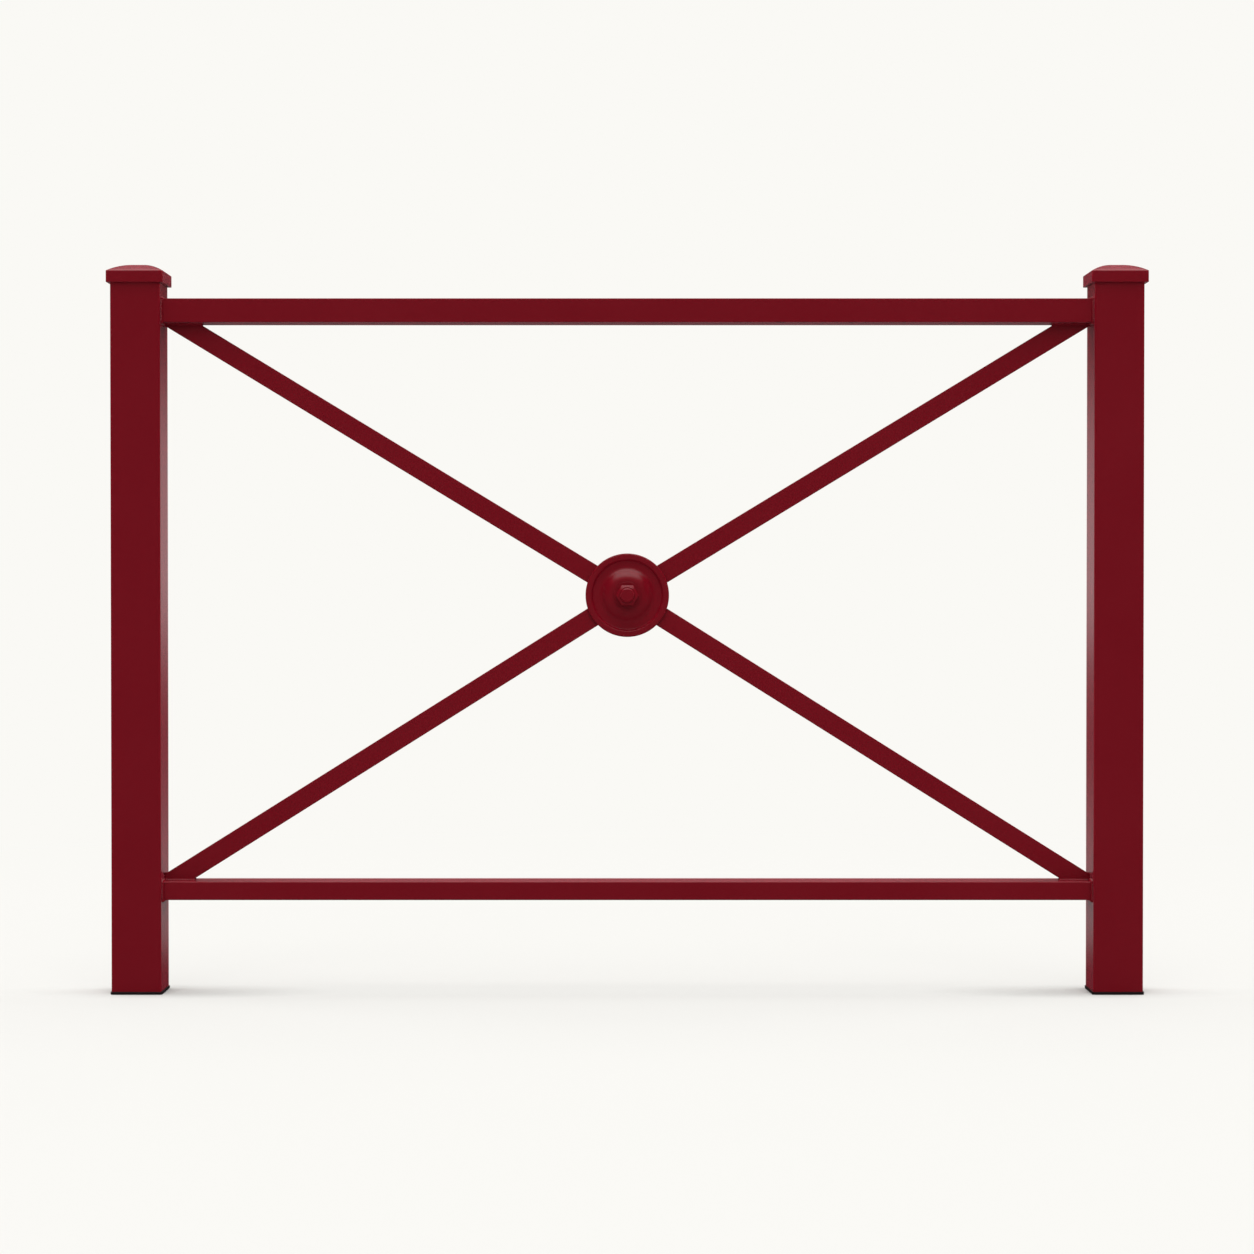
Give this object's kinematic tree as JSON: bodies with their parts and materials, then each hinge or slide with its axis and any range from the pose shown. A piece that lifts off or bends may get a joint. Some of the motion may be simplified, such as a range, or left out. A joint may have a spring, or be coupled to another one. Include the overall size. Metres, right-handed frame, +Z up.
{
  "type": "pedestrian guard railing",
  "caption": "Steel pedestrian guard railing bay: square capped posts, a top and a bottom rail, and crossed flat-bar arms that meet at a bolted round rosette.",
  "frame": {"origin": "centre of the flat underside of the left post's foot, seen from the front", "axes": "+X along the railing from the left post to the right post, +Y from the front to the rear, +Z up along the posts"},
  "size_m": [1.46, 0.08, 1.0275],
  "materials": {
    "red_paint": "semi-gloss wine-red powder coat on steel",
    "black_plastic": "black moulded polyethylene"
  },
  "bodies": {
    "root": {"left_post": "red_paint", "right_post": "red_paint", "left_post_cap": "red_paint", "right_post_cap": "red_paint", "left_foot_plug": "black_plastic", "right_foot_plug": "black_plastic", "top_rail": "red_paint", "bottom_rail": "red_paint", "upper_left_arm": "red_paint", "upper_right_arm": "red_paint", "lower_left_arm": "red_paint", "lower_right_arm": "red_paint", "hub_core": "red_paint", "front_rosette": "red_paint", "rear_rosette": "red_paint", "hub_bolt": "red_paint", "hub_nut": "red_paint", "front_washer": "red_paint", "rear_washer": "red_paint", "top_left_weld": "red_paint", "top_right_weld": "red_paint", "bottom_left_weld": "red_paint", "bottom_right_weld": "red_paint", "upper_left_arm_weld": "red_paint", "upper_right_arm_weld": "red_paint", "lower_left_arm_weld": "red_paint", "lower_right_arm_weld": "red_paint"}
  },
  "joints": []
}
